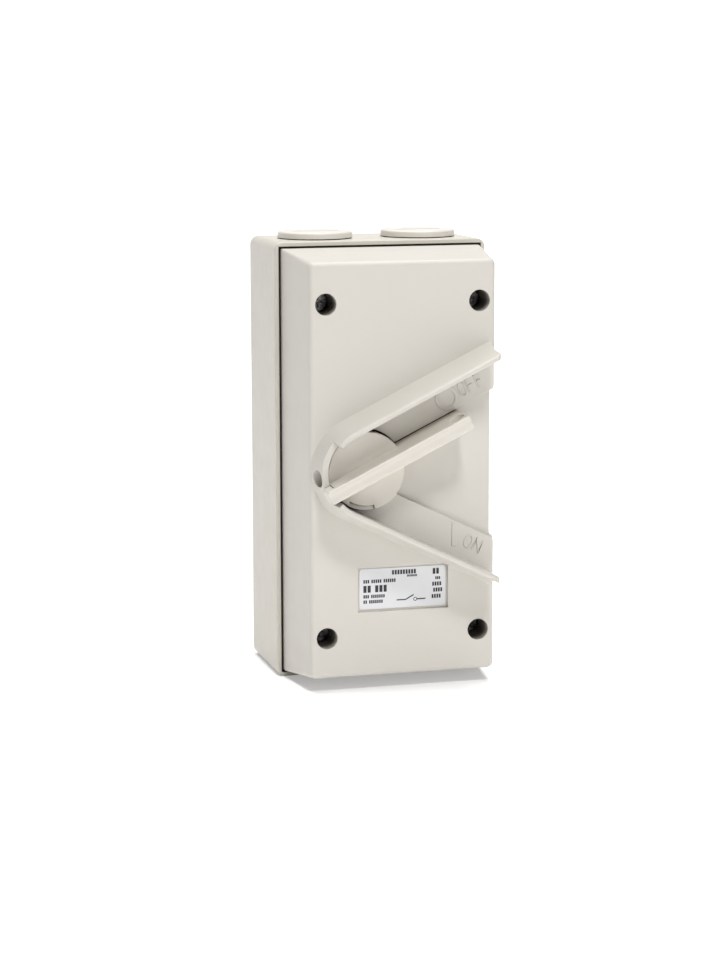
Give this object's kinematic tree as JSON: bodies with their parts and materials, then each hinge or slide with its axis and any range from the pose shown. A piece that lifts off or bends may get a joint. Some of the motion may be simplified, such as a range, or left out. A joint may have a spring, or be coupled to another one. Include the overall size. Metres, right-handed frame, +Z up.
{
  "type": "rotary isolator switch",
  "caption": "Wall-mounted weatherproof rotary isolator: a deep box and drafted cover, and a lever handle turning on a drum inside a raised V-shaped guard, from off to on.",
  "frame": {"origin": "centre of the flat rear face, which lies on the wall", "axes": "+Y into the wall, so the front faces -Y; +Z up along the long side; +X to the right of someone facing the switch"},
  "size_m": [0.082, 0.085, 0.1677],
  "materials": {
    "base_plastic": "satin moulded polycarbonate, pale warm grey",
    "cover_plastic": "satin moulded polycarbonate, pale warm grey",
    "handle_plastic": "satin moulded polycarbonate, pale warm grey",
    "plug_plastic": "satin moulded plastic, pale warm grey",
    "label_film": "silver-white printed film",
    "seal_rubber": "matt black elastomer",
    "screw_steel": "plated steel",
    "brass_parts": "machined brass",
    "washer_plastic": "low-friction plastic",
    "spring_steel": "bare steel",
    "switch_moulding": "dark grey insulating moulding",
    "rotor_moulding": "off-white insulating moulding",
    "contact_copper": "copper alloy with a silvered contact face"
  },
  "bodies": {
    "enclosure": {"bar_clamp_screws": "screw_steel", "base_enclosure": "base_plastic", "carrier_screws": "screw_steel", "conduit_plug_left": "plug_plastic", "conduit_plug_right": "plug_plastic", "conduit_plug_seals": "seal_rubber", "cover_gasket": "seal_rubber", "cover_screw_inserts": "brass_parts", "cover_screw_seals": "seal_rubber", "cover_screws": "screw_steel", "detent_housing": "switch_moulding", "detent_spring_left": "spring_steel", "detent_spring_right": "spring_steel", "earth_bar": "brass_parts", "front_cover": "cover_plastic", "handle_thrust_washer": "washer_plastic", "line_contact_1": "contact_copper", "line_contact_2": "contact_copper", "line_contact_3": "contact_copper", "load_contact_1": "contact_copper", "load_contact_2": "contact_copper", "load_contact_3": "contact_copper", "mechanism_lid": "switch_moulding", "neutral_bar": "brass_parts", "pole_wafer_1": "switch_moulding", "pole_wafer_2": "switch_moulding", "pole_wafer_3": "switch_moulding", "rating_label": "label_film", "stack_screws": "screw_steel", "switch_carrier": "switch_moulding", "terminal_bar_stand": "switch_moulding", "terminal_bar_stand_screws": "screw_steel", "terminal_clamps": "screw_steel", "terminal_screws": "screw_steel"},
    "handle": {"operating_handle": "handle_plastic", "handle_shaft_seal": "seal_rubber", "handle_retaining_clip": "spring_steel"},
    "rotor": {"drive_shaft": "spring_steel", "detent_cam": "rotor_moulding", "rotor_1": "rotor_moulding", "rotor_2": "rotor_moulding", "rotor_3": "rotor_moulding", "moving_contact_1": "contact_copper", "moving_contact_2": "contact_copper", "moving_contact_3": "contact_copper"}
  },
  "joints": [
    {"name": "handle_turn", "type": "hinge", "parent": "enclosure", "child": "handle", "pos_m": [-0.0153, -0.0675, 0.001], "axis": [0, 1, 0], "range_deg": [0, 52]},
    {"name": "rotor_turn", "type": "hinge", "parent": "enclosure", "child": "rotor", "pos_m": [-0.0153, -0.028, 0.001], "axis": [0, 1, 0], "range_deg": [0, 52]}
  ],
  "couplings": [
    {"joint": "rotor_turn", "follows": "handle_turn", "ratio": 1}
  ]
}
